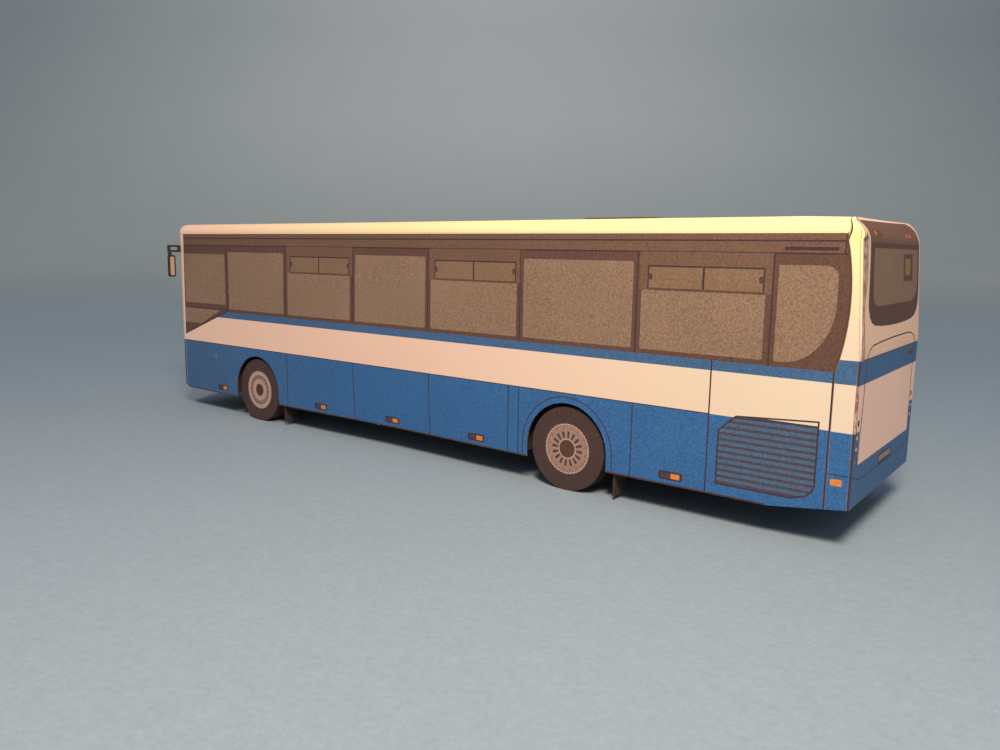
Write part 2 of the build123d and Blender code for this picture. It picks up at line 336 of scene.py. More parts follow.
def mix_layers(name, shade):
    """A thick ring glued up from layers of card: fine lines around the tread."""
    n = Nodes(name)
    layer_height, waviness = 0.00027, 0.00012
    wobble = n.maths("MULTIPLY", n.noise(700), waviness)
    layer = n.maths("FRACT", n.maths("DIVIDE", n.maths("ADD", n.axis("Y"), wobble), layer_height))
    groove = n.ranged(n.maths("ABSOLUTE", n.maths("SUBTRACT", layer, 0.5)), 0.34, 0.5, 1.0, 0.62)
    n.bumped(groove, 0.00005, 0.6)
    n.finish(n.brightened(solid(shade), n.maths("MULTIPLY", groove, n.spread(0.85, 1.2, 2600))), 0.72, 0.25)


def mix_stick(name, shade):
    """Pale wood, its grain running along the axle."""
    n = Nodes(name)
    grain = n.noise(3600, 4.0, 0.65, n.stretched(1.0, 0.06, 1.0))
    n.bumped(grain, 0.00004, 0.5)
    n.finish(n.brightened(solid(shade), n.ranged(grain, 0.3, 0.7, 0.72, 1.15)), 0.6)


def mix_floor_paper(name, shade):
    """Sugar paper with soft mottling and fine grain, and painted light: the floor paler further off, the
    upright part darker as painted shade, and a painted pool of light high on it.
    """
    n = Nodes(name)
    c = colours()
    away = n.measured("DISTANCE", AHEAD * 1.05 + Vector((0, 0, 0.6)))
    patch = n.maths("POWER", n.ranged(away, 0.0, 1.5, 1.0, 0.0), 2.0)
    reach = n.measured("DOT_PRODUCT", AHEAD)
    # Painted light: the floor turns paler further off.
    ground = n.mixed(n.ranged(reach, 0.1, 0.7), solid(shade), solid(c.distant))
    # Painted shade on the upright part, with a painted pool of light high on it.
    wall_light_and_shade = n.mixed(patch, solid(c.upright), solid(c.backdrop_highlight))
    n.bumped(n.noise(900, 4.0, 0.7), 0.0001, 0.25)
    mottle = n.maths("MULTIPLY", n.spread(0.97, 1.03, 420, 4.0), n.spread(0.99, 1.01, 18, 2.0, 0.5))
    tones = n.maths("MULTIPLY", mottle, n.spread(0.92, 1.08, 1300, 4.0, 0.85))
    n.finish(n.brightened(n.mixed(n.ranged(reach, 0.78, 1.02), ground, wall_light_and_shade), tones), 0.85, 0.15)


class CARDBUS_OT_mix_finishes(bpy.types.Operator):
    """Make every ink, card and wood that the pieces use"""

    bl_idname = "cardbus.mix_finishes"
    bl_label = "Mix Finishes"

    def execute(self, context):
        c = colours()
        mix_ink("white", c.white, 0.02, 0.015, ahead=(c.blush, -60, 0))
        mix_ink("blush", c.blush, 0.02, 0.015)
        # fold: painted shade of the leaning upper rear end.
        mix_ink("fold", c.fold, 0.02, 0.015)
        mix_ink("blue", c.blue, 0.36, ahead=(c.stripe, 10, 60))
        mix_ink("glass", c.glass, 0.4)
        mix_ink("mirror", c.mirror, 0.05)
        for name in ("line", "seam", "border"):
            mix_ink(name, getattr(c, name), 0.3, rub=0.1)
        for name in (
            "stripe", "frame", "rail", "pane", "slat", "gap", "orange",
            "red", "sign", "brow", "tyre", "rim", "hub", "dusk",
        ):
            mix_ink(name, getattr(c, name), 0.32)
        mix_felt("felt", c.felt)
        # Roof: painted highlight, yellower at the rear where the roof is lit most strongly.
        mix_card_with_painted_highlight("roof", c.roof, c.roof_front, "X", -40, 60)
        # Corners: painted highlight, the white card turning yellow towards the top where it is lit most
        # strongly.
        mix_card_with_painted_highlight("corner", c.white, c.roof, "Z", 24, 36)
        mix_ink("pulp", c.pulp, 0.06, 0.04, 0.85)
        mix_dark_card("dark", c.dark)
        mix_dark_card("black", c.black)
        mix_layers("layers", c.tyre)
        mix_stick("stick", c.stick)
        mix_floor_paper("paper", c.paper)
        return {"FINISHED"}


# ---- Sheets and printing --------------------------------------------------------------
def mark_outer(sheet, outward):
    """Mark the printed face: its largest outer area and all that joins it without a sharp edge."""
    bm = bmesh.from_edit_mesh(sheet.data)
    bm.normal_update()
    layers = bm.faces.layers.int
    for name in ("outer", "inside"):
        if not layers.get(name):
            layers.new(name)
    outer = layers["outer"]
    for face in bm.faces:
        face[outer] = 0
    first = max(bm.faces, key=lambda face: face.calc_area() * face.normal.dot(outward))
    first[outer] = 1
    queue = [first]
    while queue:
        face = queue.pop()
        for other in (other for edge in face.edges for other in edge.link_faces):
            if not other[outer] and other.normal.angle(face.normal, pi) < radians(40):
                other[outer] = 1
                queue.append(other)
    for face in bm.faces:
        face.select_set(bool(face[outer]))
    bmesh.update_edit_mesh(sheet.data)


def take_sheet(node, outward, along=(), up=()):
    """A copy of a sheet in edit mode: welded, with a narrow rim round its printed face.

    It is cut across at the places `along` and `up`, in metres, so that it can be bent there.
    """
    mesh = frame["nodes"][node].data.copy()
    mesh.name = f"{node}_print"
    mesh.materials.clear()
    mesh.materials.append(bpy.data.materials["pulp"])
    sheet = bpy.data.objects.new(f"{node}_print", mesh)
    bpy.context.scene.collection.objects.link(sheet)
    outward = Vector(outward)
    sheet["axis"] = 1 if abs(outward.x) > 0.5 else 0
    edit(sheet)
    bpy.ops.mesh.customdata_custom_splitnormals_clear()
    bpy.ops.mesh.select_all(action="SELECT")
    bpy.ops.mesh.remove_doubles(threshold=1e-6)
    bpy.ops.mesh.dissolve_limited(angle_limit=radians(0.4))
    bpy.ops.mesh.select_all(action="DESELECT")
    mark_outer(sheet, outward)
    bpy.ops.mesh.inset(thickness=sizes().rim_width, depth=0, use_even_offset=True)
    mark_outer(sheet, outward)
    bm = bmesh.from_edit_mesh(mesh)
    outer = bm.faces.layers.int["outer"]
    wear = bm.verts.layers.float.new("wear")
    for vertex in bm.verts:
        vertex[wear] = float({face[outer] for face in vertex.link_faces} == {0, 1})
    bmesh.update_edit_mesh(mesh)
    for axis, cuts in ((0, along), (2, up)):
        for place in cuts:
            bpy.ops.mesh.select_all(action="SELECT")
            cut(axis, (place, 0.0), (1.0, 0.0))
    return sheet


def cut(axis, place, across):
    """Cut the selected faces by a plane, given along `axis` and in height."""
    point, normal = Vector((0, 0, place[1])), Vector((0, 0, across[1]))
    point[axis], normal[axis] = place[0], across[0]
    bpy.ops.mesh.bisect(plane_co=point, plane_no=normal, threshold=SLIP / 2)


def slot_of(sheet, finish):
    """Index of a finish on a sheet, added when it is new there."""
    names = [material.name for material in sheet.data.materials]
    if finish not in names:
        sheet.data.materials.append(bpy.data.materials[finish])
        names.append(finish)
    return names.index(finish)


def recolour(sheet, finish, chosen):
    """Give a finish to the faces that `chosen` agrees to, asked with each face and whether it is printed."""
    slot = slot_of(sheet, finish)
    bm = bmesh.from_edit_mesh(sheet.data)
    outer = bm.faces.layers.int["outer"]
    for face in bm.faces:
        if chosen(face, face[outer]):
            face.material_index = slot
    bmesh.update_edit_mesh(sheet.data)


def flood(sheet, finish):
    """Cover the whole printed face in one finish."""
    recolour(sheet, finish, lambda face, outer: outer)


def cover_pulp(sheet, finish):
    """Give a finish to what is still bare card."""
    recolour(sheet, finish, lambda face, outer: face.material_index == 0)


def ink_rim(sheet, finish, chosen):
    """Colour the narrow rim, and the cut edge beside it, wherever `chosen` agrees to a place in mm."""
    bm = bmesh.from_edit_mesh(sheet.data)
    wear = bm.verts.layers.float["wear"]

    def on_rim(face, outer):
        middle = face.calc_center_median() / MM
        plain = outer and max(vertex[wear] for vertex in face.verts) < 0.6
        return not plain and chosen(middle.x - REAR / MM, middle.y, middle.z, outer)

    recolour(sheet, finish, on_rim)


def ink(sheet, finish, *outlines):
    """Print convex outlines: the printed face is cut along their sides, and what lies inside is coloured."""
    for outline in outlines:
        ink_one(sheet, finish, outline)


def ink_one(sheet, finish, outline):
    axis = sheet["axis"]
    start = 0.0 if axis else REAR
    corners = [(start + a * MM, z * MM) for a, z in outline]
    if sum(p[0] * q[1] - q[0] * p[1] for p, q in zip(corners, corners[1:] + corners[:1])) < 0:
        corners.reverse()
    low, high = [[pick(corner[i] for corner in corners) for i in (0, 1)] for pick in (min, max)]
    bm = bmesh.from_edit_mesh(sheet.data)
    outer, inside = (bm.faces.layers.int[name] for name in ("outer", "inside"))
    marked = []
    for face in bm.faces:
        face[inside] = 0
        if face[outer]:
            spans = [[vertex.co[i] for vertex in face.verts] for i in (axis, 2)]
            if all(min(span) < end and max(span) > begin for begin, end, span in zip(low, high, spans)):
                face[inside] = 1
                marked.append(face)
    for p, q in zip(corners, corners[1:] + corners[:1]):
        span = hypot(q[0] - p[0], q[1] - p[1])
        if span < SLIP:
            continue
        out = ((q[1] - p[1]) / span, (p[0] - q[0]) / span)
        crossed, kept = [], []
        for face in marked:
            reach = [(v.co[axis] - p[0]) * out[0] + (v.co.z - p[1]) * out[1] for v in face.verts]
            if min(reach) >= -SLIP:
                face[inside] = 0
            else:
                kept.append(face)
                if max(reach) > SLIP:
                    crossed.append(face)
        marked = kept
        if not crossed:
            continue
        bpy.ops.mesh.select_all(action="DESELECT")
        for face in crossed:
            face.select_set(True)
        cut(axis, p, out)
        bm = bmesh.from_edit_mesh(sheet.data)
        inside = bm.faces.layers.int["inside"]
        marked = []
        for face in bm.faces:
            if face[inside]:
                middle = face.calc_center_median()
                if (middle[axis] - p[0]) * out[0] + (middle.z - p[1]) * out[1] < 0:
                    marked.append(face)
                else:
                    face[inside] = 0
    slot = slot_of(sheet, finish)
    for face in marked:
        face.material_index = slot
    bmesh.update_edit_mesh(sheet.data)


def block(a0, z0, a1, z1):
    return [(a0, z0), (a1, z0), (a1, z1), (a0, z1)]


def oval(a, z, half_along, half_up, steps=24, start=0.0, sweep=tau):
    count = steps if sweep >= tau else steps + 1
    turns = [start + sweep * i / steps for i in range(count)]
    return [(a + half_along * cos(turn), z + half_up * sin(turn)) for turn in turns]


def rounded(a0, z0, a1, z1, radius, steps=4):
    """A box with rounded corners: one radius, or four (bottom rear, bottom front, top front, top rear)."""
    radii = radius if isinstance(radius, tuple) else (radius,) * 4
    points = []
    for i, (a, z, r) in enumerate(zip((a0, a1, a1, a0), (z0, z0, z1, z1), radii)):
        centre = (a + (r if a == a0 else -r), z + (r if z == z0 else -r))
        points += oval(*centre, r, r, steps, pi + i * pi / 2, pi / 2) if r else [(a, z)]
    return points


def stroke(a0, z0, a1, z1, width):
    """A straight pen line."""
    span = hypot(a1 - a0, z1 - z0)
    da, dz = (a1 - a0) / span * width / 2, (z1 - z0) / span * width / 2
    return [(a0 - dz, z0 + da), (a0 + dz, z0 - da), (a1 + dz, z1 - da), (a1 - dz, z1 + da)]


def trail(points, width, closed=False):
    """Pen lines through points, each lapping a little over the next."""
    pairs = list(zip(points, points[1:] + points[:1]))
    for (a0, z0), (a1, z1) in pairs if closed else pairs[:-1]:
        span = hypot(a1 - a0, z1 - z0)
        da, dz = (a1 - a0) / span * width / 3, (z1 - z0) / span * width / 3
        yield stroke(a0 - da, z0 - dz, a1 + da, z1 + dz, width)


def trimmed(outline, limit):
    """The part of one convex outline that lies inside another, whose corners run anticlockwise."""
    for (a0, z0), (a1, z1) in zip(limit, limit[1:] + limit[:1]):
        def inward(point):
            return (a1 - a0) * (point[1] - z0) - (z1 - z0) * (point[0] - a0)

        kept = []
        for p, q in zip(outline, outline[1:] + outline[:1]):
            here, there = inward(p), inward(q)
            if here >= 0:
                kept.append(p)
            if here * there < 0:
                t = here / (here - there)
                kept.append((p[0] + t * (q[0] - p[0]), p[1] + t * (q[1] - p[1])))
        outline = kept
    return outline


def net(node, axis, step):
    """Even cuts along one axis of a piece, in metres, about `step` mm apart."""
    start, end = (corner[axis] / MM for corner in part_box(node))
    count = max(1, round((end - start) / step))
    return [(start + (end - start) * i / count) * MM for i in range(1, count)]


WAIST = 17.0             # height at which the sides stand straight
FOLD = 23.0              # height from which the flat-folded rear panel leans ahead
BROW = 35.45             # height at which it bends over towards the roof
BEND = 2.7               # height of that bend
FOLD_LEAN, BEND_LEAN = 0.85, 1.85
ROOF_BOW_AT, ROOF_BOW_REACH = 86, 25        # along the bus
SKIRT_BOW_AT, SKIRT_BOW_REACH = 73, 16
CROWN = 36               # height from which the roof's middle is flattened at the rear


def limited(value):
    return min(max(value, 0.0), 1.0)


def lean(s, z):
    """How far in the glued shell leans at a place on its side: the waist stands out between the wheels."""
    if z > WAIST:
        rise = min((z - WAIST) / (ROOF_EDGE - WAIST), 1.0)
        return sizes().roof_bow * exp(-(((s - ROOF_BOW_AT) / ROOF_BOW_REACH) ** 2)) * rise**2
    drop = min((WAIST - z) / 13.1, 1.0)
    return sizes().skirt_bow * exp(-(((s - SKIRT_BOW_AT) / SKIRT_BOW_REACH) ** 2)) * drop**2


def tail_offset(z):
    """How far ahead of the rear end the rear panel stands at a height, in mm."""
    return FOLD_LEAN * limited((z - FOLD) / (BROW - FOLD)) + BEND_LEAN * max((z - BROW) / BEND, 0.0)


def tail_swell(z):
    """How far the card bulges out behind that fold where it bends over into the roof."""
    t = limited((z - BROW) / BEND)
    return t + (1 - t * t) ** 0.5 - 1


def tail_bulge(y, z):
    """How much further the left end of that bend stands out, as folded."""
    t = (z - 35.3) / 2.0
    return 0.34 * sin(pi * t**0.8) * limited((y - 9.0) / 5.0) ** 2 if 0 < t < 1 else 0.0


def bow(sheet):
    """Round the rear's top, flatten the crown there, and lean the sheets in as the glued shell does."""
    for vertex in sheet.data.vertices:
        x, y, z = vertex.co / MM
        ahead = x - REAR / MM - tail_offset(z)
        near = limited((1.6 - ahead) / 1.25)
        beside = limited((8.0 - ahead) / 5.0) * max(z - ROOF_EDGE, 0.0) * 0.33
        vertex.co.x -= MM * ((tail_swell(z) + tail_bulge(y, z)) * near + beside * (1 - near))
        if z > CROWN:
            flat = limited((28 - ahead) / 24) * max(0.28 - y * y / 524, 0.0)
            sunk = 0.13 * limited((4.5 - ahead) / 3) * limited((y + 10) / 20)
            vertex.co.z -= MM * min((z - CROWN) / 1.6, 1.0) * (flat + sunk)
    for vertex in sheet.data.vertices:
        x, y, z = vertex.co
        near = limited((abs(y) / MM - 8.5) / 5.5)
        near = near * near * (3 - 2 * near)
        vertex.co.y -= (1 if y > 0 else -1) * near * lean((x - REAR) / MM, z / MM)


def press(sheet, node):
    """Finish a printed sheet."""
    bpy.ops.object.mode_set(mode="OBJECT")
    bow(sheet)
    for name in ("outer", "inside"):
        sheet.data.attributes.remove(sheet.data.attributes[name])
    smooth(sheet)
    del sheet["axis"]
    settle(sheet, "body", node)


# ---- Side sheets ----------------------------------------------------------------------
NET_STEP = 5.4           # between the cuts along the long sheets
BLUE_TOP = 14.0          # upper edge of the blue skirt
STRIPE_FOOT = 19.4       # lower edge of the blue stripe under the windows
BELT = 20.65             # lower edge of the window band
SILL = 21.25             # lower edge of the glass
GLASS_TOP = 32.4
RAIL = 33.65             # line above the windows
GUTTER = 35.07           # line below the roof's edge
VENT_FOOT = 29.0
VENT_TOP = 31.85
FLAP_EDGE = 17.1         # front edge of the engine flap


def print_side(sheet, hoppers, plains, pillars):
    """The bands that run the whole length, then the windows and the dark line down each pillar."""
    fine = sizes().fine_line / MM
    flood(sheet, "white")
    ink(sheet, "blue", block(-1, 0, 140, BLUE_TOP))
    ink(sheet, "stripe", block(-1, STRIPE_FOOT, 140, BELT))
    ink(sheet, "frame", block(-1, BELT, 140, RAIL))
    ink(sheet, "rail", block(-1, RAIL, 140, 40))
    ink(sheet, "line", *(stroke(-1, z, 140, z, fine) for z in (RAIL, GUTTER)))
    print_quarter_window(sheet)
    for s0, s1 in hoppers:
        print_hopper_window(sheet, s0, s1)
    ink(sheet, "glass", *(rounded(s0, SILL, s1, GLASS_TOP, 0.25, 2) for s0, s1 in plains))
    ink(sheet, "line", *(stroke(s, BELT, s, RAIL, fine) for s in pillars))


def print_skirt(sheet, seams):
    """Lines of the flaps below the windows, and the line round the rear wheel arch."""
    fine = sizes().fine_line / MM
    hub, height, radius, foot = 38.0, 6.0, 7.45, 3
    ink(sheet, "line", stroke(FLAP_EDGE, BLUE_TOP, SIDE_FRONT + 1, BLUE_TOP, 0.14))
    ink(sheet, "seam", *(stroke(s, foot, s, BLUE_TOP, fine) for s in seams))
    ink(sheet, "line", stroke(FLAP_EDGE, foot, FLAP_EDGE, BELT, 0.2))
    ring = oval(hub, height, radius, radius, 26, 0, pi)
    ink(sheet, "line", *trail([(hub + radius, foot), *ring, (hub - radius, foot)], 0.16))


def print_hopper_window(sheet, s0, s1):
    """A window with two tilting panes above the main one."""
    fine = sizes().frame_line / MM
    ink(sheet, "rail", block(s0 - 0.8, VENT_FOOT - 0.1, s1 + 0.35, RAIL))
    ink(sheet, "glass", rounded(s0, SILL, s1, VENT_FOOT - 0.1, 0.2, 2))
    p0, p1 = s0 + 0.3, s1 - 0.9
    middle = (p0 + p1) / 2
    ink(sheet, "line", block(p0 - 0.12, VENT_FOOT - 0.12, p1 + 0.12, VENT_TOP + 0.1))
    ink(sheet, "frame", block(p0 - 0.2, VENT_FOOT - 0.16, p1 + 0.2, VENT_FOOT + 0.14))
    for q0, q1 in ((p0 + 0.08, middle - 0.14), (middle + 0.14, p1 - 0.08)):
        ink(sheet, "pane", block(q0, VENT_FOOT + 0.14, q1, VENT_TOP - fine / 2))
    for centre in (p0 + 0.32, p1 - 0.32):
        ink(sheet, "line", block(centre - 0.2, 30.15, centre + 0.2, 30.88))
        ink(sheet, "frame", block(centre - 0.08, 30.3, centre + 0.1, 30.7))


def print_quarter_window(sheet):
    """The last window, its lower rear corner swept in a long curve."""
    sweep = oval(8.6, 28.2, 5.6, 6.95, 14, pi, pi / 2)
    corner = oval(4.3, 31.05, 1.3, 1.3, 5, pi / 2, pi / 2)
    ink(sheet, "glass", [*sweep, (9.6, SILL), (9.6, 32.35), *corner])
    ink(sheet, "line", block(3.2, 34.0, 9.1, 34.4), stroke(2.5, RAIL, 2.5, GUTTER, 0.18))


def print_cab_window(sheet):
    """The driver's window, with a low corner pane under its bar."""
    ink(sheet, "frame", [(118.4, BELT + 0.4), (118.4, 20.95), (134.2, 15.2), (134.2, BELT + 0.4)])
    ink(sheet, "line", stroke(118.6, 20.75, 133.9, 15.3, 0.22))
    ink(sheet, "glass", rounded(119.0, 22.0, 133.35, 31.95, (0.3, 0, 0, 0.3), 2))
    ink(sheet, "glass", [(133.7, 20.85), (120.9, 20.85), (127.9, 17.8), (133.75, 17.8)])
    ink(sheet, "line", block(118.8, 20.95, 133.6, 21.1))
    print_front_margin(sheet)


def print_front_margin(sheet):
    """White card ahead of the last window or door."""
    ink(sheet, "white", [(133.4, 36.5), (133.92, BLUE_TOP), (136, BLUE_TOP), (136, 36.5)])


def print_side_lamp(sheet, s0):
    """A dark lamp housing with an orange marker at its rear."""
    ink(sheet, "line", rounded(s0, 4.6, s0 + 3.3, 5.75, 0.3, 3))
    ink(sheet, "slat", block(s0 + 1.75, 4.85, s0 + 2.95, 5.5))
    ink(sheet, "line", block(s0 + 2.3, 5.05, s0 + 2.55, 5.3))
    ink(sheet, "orange", rounded(s0 + 0.35, 4.82, s0 + 1.6, 5.52, 0.12, 2))


def print_grille(sheet):
    """The engine grille behind the rear wheel: slats inside a slanted outline."""
    outline = [
        (6.6, 5.4), (15.75, 5.4), (15.75, 12.1), (14.55, 13.35), (13.6, 14.15),
        (3.95, 14.8), (3.95, 7.4), (4.2, 6.6), (4.9, 5.9),
    ]
    ink(sheet, "gap", trimmed(block(3, 5, 16.5, BLUE_TOP), outline))
    for row in range(12):
        foot = 5.5 + row * 0.77
        slat = trimmed(block(3, foot, 16.5, foot + 0.33), outline)
        if len(slat) > 2:
            ink(sheet, "slat", slat)
    ink(sheet, "line", *trail(outline, 0.2, closed=True))
    ink(sheet, "line", stroke(13.9, 13.9, 3.95, 14.25, 0.14))


def finish_side_edges(sheet):
    """The pen line where a side meets its rear corner, and blackened edges along its foot and arches."""
    hubs = [(axle.x - REAR) / MM for axle in AXLES.values()]
    for finish, chosen in (
        ("line", lambda s, y, z, outer: outer and s < 3.0 and 5.0 < z < BELT),
        ("border", lambda s, y, z, outer: outer and s < 3.0 and BELT < z < ROOF_EDGE - 0.2),
        ("tyre", lambda s, y, z, outer: outer and z < 4.15),
        ("tyre", lambda s, y, z, outer: not outer and z < 13 and min(abs(s - hub) for hub in hubs) < 7.2),
    ):
        ink_rim(sheet, finish, chosen)


def print_left_side(sheet):
    print_side(
        sheet,
        hoppers=((11.0, 27.05), (47.0, 63.8), (82.6, 99.5)),
        plains=((28.3, 45.8), (65.0, 81.3), (100.7, 117.9)),
        pillars=(10.2, 27.7, 46.4, 64.4, 81.95, 100.1, 118.45),
    )
    print_cab_window(sheet)
    print_skirt(sheet, (27.7, 46.3, 48.2, 64.2, 82.0, 100.1))
    print_grille(sheet)
    for s0 in (20.2, 52.7, 71.2, 89.1, 119.3):
        print_side_lamp(sheet, s0)
    ink(sheet, "red", oval(123.1, 11.5, 0.3, 0.34, 10))
    finish_side_edges(sheet)


def print_door(sheet, s0, s1):
    """A printed door: two glazed leaves in one dark frame."""
    ink(sheet, "frame", rounded(s0, 5.0, s1, RAIL, 0.4, 3))
    middle = (s0 + s1) / 2
    for a, b in ((s0 + 0.7, middle - 0.45), (middle + 0.45, s1 - 0.7)):
        ink(sheet, "glass", rounded(a, 6.3, b, 32.2, 0.6, 3))
        ink(sheet, "line", stroke(a, 13.4, b, 13.4, 0.16))
    ink(sheet, "line", stroke(middle, 5.0, middle, RAIL, 0.2))
    handle = middle - 1.1
    ink(sheet, "line", block(handle, 16.5, handle + 0.3, 19.2))


def print_right_side(sheet):
    print_side(
        sheet,
        hoppers=((11.0, 27.05), (47.0, 59.6), (90.7, 104.5)),
        plains=((28.3, 45.8), (76.4, 89.5), (105.7, 117.9)),
        pillars=(10.2, 27.7, 46.4, 90.1, 105.1),
    )
    print_skirt(sheet, (27.7, 46.3, 48.2, 82.0, 100.1))
    for s0, s1 in ((60.9, 75.1), (119.1, 132.6)):
        print_door(sheet, s0, s1)
    print_front_margin(sheet)
    for s0 in (20.2, 52.7, 89.1):
        print_side_lamp(sheet, s0)
    ink(sheet, "seam", *trail(rounded(5.0, 8.6, 9.4, 12.2, 0.4, 3), 0.16, closed=True))
    finish_side_edges(sheet)


class CARDBUS_OT_print_sides(bpy.types.Operator):
    """Print the two long side sheets"""

    bl_idname = "cardbus.print_sides"
    bl_label = "Print Side Sheets"

    def execute(self, context):
        for hand, draw in (("left", print_left_side), ("right", print_right_side)):
            node = f"side_{hand}"
            sheet = take_sheet(node, (0, HANDS[hand], 0), net(node, 0, NET_STEP), net(node, 2, 3.2))
            draw(sheet)
            press(sheet, node)
        return {"FINISHED"}


# ---- Rear end -------------------------------------------------------------------------
BUMPER = 10.07           # upper edge of the blue along the foot of the rear end
STRIPE_REAR = 19.35      # lower edge of the blue stripe round the rear end
BELT_REAR = 22.1         # upper edge of that stripe
EDGE_STEPS = (0.12, 0.26)       # where the ink changes across the rear panel's cut edge


def print_rear(sheet):
    flood(sheet, "blush")
    # Painted shade over the upper rear end, where the panel leans ahead and gets less light.
    ink(sheet, "fold", block(-15, BELT_REAR, 15, 40))
    ink(sheet, "stripe", block(-15, 0, 15, BUMPER), block(-15, STRIPE_REAR, 15, BELT_REAR))
    ink(sheet, "border", stroke(-15, BELT_REAR, 15, BELT_REAR, 0.14))
    print_rear_window(sheet)
    left_edge = [(12.5, 10.1), (12.4, 13.0), (12.1, 17.5), (12.05, 21.6), (11.75, 22.5)]
    crown = [(11.1, 23.05), (9.6, 23.45), (6.5, 23.6), (0, 23.75), (-8.5, 23.75), (-10.5, 23.5)]
    right_edge = [(-11.7, 23.1), (-12.3, 22.3), (-12.4, 17.5), (-12.8, 10.1)]
    ink(sheet, "border", *trail([left_edge[-1], *crown, *right_edge[:1]], 0.18))
    ink(sheet, "border", *trail(left_edge, 0.3), *trail(right_edge, 0.3))
    bumper = [
        (14.4, 9.1), (12.7, 8.5), (11.4, 8.2), (10.0, 8.08),
        (-10.6, 8.05), (-11.6, 8.2), (-12.6, 8.6), (-14.4, 9.05),
    ]
    ink(sheet, "seam", *trail(bumper, 0.15))
    ink(sheet, "frame", oval(-10.6, 21.0, 1.7, 0.4, 20))
    ink(sheet, "seam", rounded(-3.7, 8.1, 2.6, 9.4, 0.15, 2))
    ink(sheet, "hub", rounded(-3.4, 8.45, 2.3, 9.2, 0.12, 2))
    for side in (1, -1):
        ink(sheet, "stripe", block(side * 12.85, 10.0, side * 14.6, 14.05))
        ink(sheet, "seam", stroke(side * 12.85, BUMPER, side * 12.85, 14.05, 0.3))
        for z, finish in ((10.6, "red"), (12.1, "white"), (13.4, "white")):
            ink(sheet, finish, oval(side * 13.55, z, 0.28, 0.24, 10))
        ink(sheet, "line", oval(side * 13.4, 15.05, 0.4, 0.4, 10))
    print_rear_strip(sheet)


def print_rear_window(sheet):
    """The rear window in its dark border, and the lamp panel that folds over above it."""
    border = [
        (11.2, 33.8), (11.6, 30.5), (11.84, 28.6), (11.84, 27.8), (11.4, 26.8), (10.5, 26.1), (9.2, 25.7),
        (6.0, 25.45), (1.8, 25.3), (-2.0, 25.27), (-6.2, 25.32), (-9.5, 25.5), (-11.6, 25.85), (-12.9, 26.5),
        (-13.7, 27.5), (-14.05, 29.0), (-14.1, 33.8),
    ]
    ink(sheet, "border", border, block(-14.05, 33.7, 11.2, 35.1))
    bend = [(-13.78, 36.46), (11.84, 36.46)]
    ink(sheet, "brow", [(11.2, 35.0), bend[1], bend[0], (-14.05, 35.0)])
    top = [(13.1, 37.5), (4.0, 37.84), (-5.0, 37.88), (-10.4, 37.8), (-12.3, 37.46), (-13.6, 36.88)]
    ink(sheet, "brow", [bend[1], *top, bend[0]])
    glass = [
        (9.1, 34.4), (9.45, 34.2), (9.85, 30.0), (9.8, 29.2), (9.5, 28.5), (8.8, 28.05), (7.5, 27.8),
        (-10.0, 27.8), (-11.6, 28.15), (-12.7, 29.0), (-13.2, 30.4), (-13.15, 34.2), (-12.9, 34.4),
    ]
    ink(sheet, "pane", glass)
    for y, finish in ((8.4, "red"), (6.75, "frame"), (-7.2, "red"), (-9.1, "red")):
        ink(sheet, "border", oval(y, 36.1, 0.95, 0.5, 18))
        ink(sheet, finish, oval(y, 36.1, 0.68, 0.36, 18))
    ink(sheet, "border", block(-10.1, 30.4, -5.0, 33.8))
    ink(sheet, "sign", block(-8.9, 31.1, -5.9, 33.2))


def print_rear_strip(sheet):
    """The felt pen strip down the left fold, and the cut edges that show beside both folds."""
    # Painted highlight: the rear face's left margin takes the paler, yellowing corner card, so that it looks
    # as brightly lit as the side.
    ink(sheet, "corner", block(13.9, 29.0, 14.9, 36.2))
    foot, low, bottom, waist = (13.2, BELT_REAR), (13.4, 24.5), (13.62, 27.0), (13.5, 28.4)
    narrow, wide, shoulder, tip = (12.66, 30.4), (12.4, 31.9), (12.4, 34.8), (12.8, 35.75)
    ink(
        sheet, "felt",
        [(14.25, 30.4), (14.3, 34.8), (13.95, 35.65), (13.3, 36.0), tip, shoulder, wide, narrow],
        [(14.25, 30.4), narrow, waist, (14.6, 28.4)],
        [(14.6, 28.4), waist, bottom, (14.6, 27.0)],
        [(14.6, 27.0), bottom, low, foot, (14.6, BELT_REAR)],
        [(14.6, STRIPE_REAR), (14.35, STRIPE_REAR), (14.2, 17.5), (13.9, 15.2), (13.9, 14.05), (14.6, 14.05)],
    )
    ink(sheet, "border", *trail([foot, low, bottom, waist, narrow, wide, shoulder, tip], 0.14))
    ink_rim(sheet, "border", lambda s, y, z, outer: outer and y > 12.4 and z > 35.3)
    # Cut edges above the stripe take the corner card, with its painted highlight near the top.
    for low, high, side, line, rear in (
        (0, BLUE_TOP, "blue", "line", "seam"),
        (BLUE_TOP, STRIPE_REAR, "corner", "felt", "felt"),
        (STRIPE_REAR, BELT_REAR, "blue", "line", "seam"),
        (BELT_REAR, 40, "corner", "corner", "felt"),
    ):
        for finish, back, front in ((side, EDGE_STEPS[1], 5), (line, *EDGE_STEPS), (rear, -1, EDGE_STEPS[0])):
            ink_rim(
                sheet, finish,
                lambda s, y, z, outer: not outer and abs(y) > 12.4 and low < z < high and back < s < front,
            )


def print_corner(sheet):
    # The corner finish carries a painted highlight that turns the card yellow near the top.
    flood(sheet, "corner")
    ink(sheet, "blue", block(-1, 0, 4, 13.95))
    ink(sheet, "stripe", block(-1, STRIPE_FOOT, 4, BELT_REAR))
    ink(sheet, "seam", stroke(-1, 9.05, 4, 9.05, 0.15))
    ink(sheet, "orange", rounded(1.0, 7.8, 2.25, 8.55, 0.12, 2))
    ink(sheet, "border", *trail([(2.27, 35.2), (2.29, 35.87), (2.42, 36.3), (2.6, 36.9), (2.92, 37.9)], 0.14))


